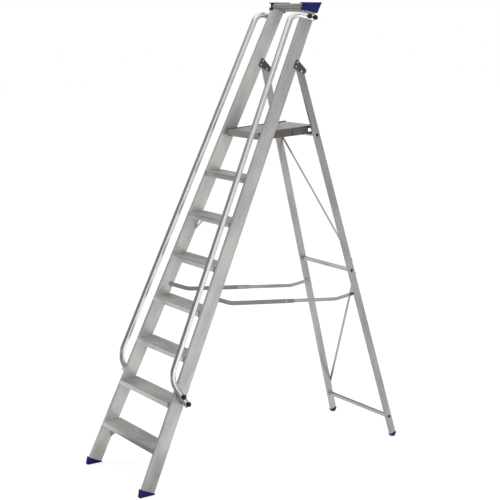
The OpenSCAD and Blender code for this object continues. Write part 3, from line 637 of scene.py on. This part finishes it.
studio = {
    "floor": 60.0,
    "floorTones": (0.46, 0.48),
    "floorGlow": 0.64,
    "sky": (0.95, 0.97, 1.0),
    "ambient": 0.80,
    "aim": (0.0, 0.0, 1.2),  # where the lamps point
    "cardSteps": 33,
    "cards": {  # degrees from the camera's side to the right, distance and height of both edges, tone
        "rightNearCard": (42.0, 85.0, (14.0, 14.0), (2.0, 8.0), (0.05, 0.051, 0.054)),
        "rightFarCard": (102.0, 180.0, (3.2, 3.2), (0.0, 2.6), (0.02, 0.02, 0.022)),
        "rightMat": (112.0, 160.0, (1.6, 3.2), (0.002, 0.002), (0.07, 0.07, 0.075)),
        "backCard": (180.0, 210.0, (9.0, 9.0), (0.0, 5.0), (0.42, 0.42, 0.42)),
        "leftFarCard": (-150.0, -95.0, (9.0, 9.0), (0.0, 10.0), (0.23, 0.20, 0.185)),
        "leftNearCard": (-95.0, -45.0, (9.0, 9.0), (0.0, 9.0), (0.25, 0.225, 0.21)),
        "leftMat": (-86.0, 5.0, (0.7, 5.0), (0.002, 0.002), (0.22, 0.205, 0.195)),
        "cameraCard": (-45.0, -8.0, (6.5, 6.5), (0.0, 7.0), (0.02, 0.02, 0.021)),
    },
    "lamps": [  # place, size, watts
        ((-3.2, -5.0, 4.6), 3.2, 90.0),
        ((5.8, -1.0, 2.0), 3.0, 95.0),
        ((0.0, 1.0, 6.5), 4.5, 65.0),
    ],
}
camera = {
    "place": (5.8236, -3.9278, 2.5186),
    "ahead": (-0.81311, 0.55176, -0.18550),
    "focalPixels": 1253.2,
    "framePixels": 500.0,
    "sensor": 36.0,
    "farClip": 200.0,
}


# One for camera, glossy and transmission rays, and nought for the rays that light the part
def seenBySight(tree, links):
    path = tree.new("ShaderNodeLightPath")
    glossy = tree.new("ShaderNodeMath")
    glossy.operation = "MAXIMUM"
    links.new(path.outputs["Is Camera Ray"], glossy.inputs[0])
    links.new(path.outputs["Is Glossy Ray"], glossy.inputs[1])
    clear = tree.new("ShaderNodeMath")
    clear.operation = "MAXIMUM"
    links.new(glossy.outputs[0], clear.inputs[0])
    links.new(path.outputs["Is Transmission Ray"], clear.inputs[1])
    return clear.outputs[0]


def makeWorld():
    world = bpy.data.worlds.new("studioWorld")
    bpy.context.scene.world = world
    world.use_nodes = True
    tree, links = world.node_tree.nodes, world.node_tree.links
    sky = tree["Background"]
    sky.inputs["Color"].default_value = (*studio["sky"], 1.0)
    sky.inputs["Strength"].default_value = studio["ambient"]
    white = tree.new("ShaderNodeBackground")
    white.inputs["Color"].default_value = (1.0, 1.0, 1.0, 1.0)
    both = tree.new("ShaderNodeMixShader")
    links.new(seenBySight(tree, links), both.inputs["Fac"])
    links.new(sky.outputs[0], both.inputs[1])
    links.new(white.outputs[0], both.inputs[2])
    links.new(both.outputs[0], tree["World Output"].inputs["Surface"])


def makeFloor():
    half = studio["floor"] / 2
    mesh = bpy.data.meshes.new("floor")
    corners = [(-half, -half, 0), (half, -half, 0), (half, half, 0), (-half, half, 0)]
    mesh.from_pydata(corners, [], [(0, 1, 2, 3)])
    floor = bpy.data.objects.new("floor", mesh)
    bpy.context.scene.collection.objects.link(floor)
    material, tree, links, bsdf = shader("paleFloor", Roughness=0.9)
    cloud = objectNoise(tree, links, (0.8, 0.8, 0.8))
    low, high = studio["floorTones"]
    links.new(twoTone(tree, links, cloud, (low, low, low), (high, high, high)), bsdf.inputs["Base Color"])
    bsdf.inputs["Emission Color"].default_value = (1.0, 1.0, 1.0, 1.0)
    glow = tree.new("ShaderNodeMath")
    glow.operation = "MULTIPLY"
    glow.inputs[1].default_value = studio["floorGlow"]
    links.new(seenBySight(tree, links), glow.inputs[0])
    links.new(glow.outputs[0], bsdf.inputs["Emission Strength"])
    mesh.materials.append(material)


# A card is a stretch of a ring about the part, upright or flat: the angle runs along it, and across it the
# distance and the height go from one edge to the other
def makeCard(name, start, stop, radii, heights, tone):
    steps = studio["cardSteps"]
    ahead = Vector(camera["ahead"])
    facing = math.atan2(-ahead.y, -ahead.x)
    angle = facing + np.radians(np.linspace(start, stop, steps))[:, None]
    radius = np.array(radii)[None, :]
    x = radius * np.cos(angle)
    y = radius * np.sin(angle)
    points = np.stack(np.broadcast_arrays(x, y, np.array(heights)[None, :]), axis=-1)
    mesh = bpy.data.meshes.new(name)
    mesh.from_pydata(points.reshape(-1, 3).tolist(), [], gridQuads(steps, 2, False, False).tolist())
    card = bpy.data.objects.new(name, mesh)
    bpy.context.scene.collection.objects.link(card)
    material, *_, bsdf = shader(name, Roughness=1.0)
    bsdf.inputs["Base Color"].default_value = (0.0, 0.0, 0.0, 1.0)
    bsdf.inputs["Emission Color"].default_value = (*tone, 1.0)
    bsdf.inputs["Emission Strength"].default_value = 1.0
    mesh.materials.append(material)
    card.visible_camera = False
    card.visible_diffuse = False
    card.visible_shadow = False


def makeLamps():
    for number, (place, size, watts) in enumerate(studio["lamps"]):
        lamp = bpy.data.lights.new(f"softbox{number}", "AREA")
        lamp.shape = "SQUARE"
        lamp.size = size
        lamp.energy = watts
        holder = bpy.data.objects.new(f"softbox{number}", lamp)
        holder.location = place
        towards = Vector(studio["aim"]) - Vector(place)
        holder.rotation_euler = towards.to_track_quat("-Z", "Y").to_euler()
        holder.visible_glossy = False
        bpy.context.scene.collection.objects.link(holder)


def makeCamera():
    lens = bpy.data.cameras.new("camera")
    lens.sensor_width = camera["sensor"]
    lens.lens = camera["focalPixels"] / camera["framePixels"] * camera["sensor"]
    lens.clip_end = camera["farClip"]
    holder = bpy.data.objects.new("camera", lens)
    holder.location = camera["place"]
    holder.rotation_mode = "QUATERNION"
    holder.rotation_quaternion = Vector(camera["ahead"]).to_track_quat("-Z", "Y")
    bpy.context.scene.collection.objects.link(holder)
    bpy.context.scene.camera = holder


makeHandrails()
makeTreads()
softenEdges()
makeWorld()
makeFloor()
for cardName, card in studio["cards"].items():
    makeCard(cardName, *card)
makeLamps()
makeCamera()
bpy.context.scene.view_settings.view_transform = "Standard"
print("studio ready")
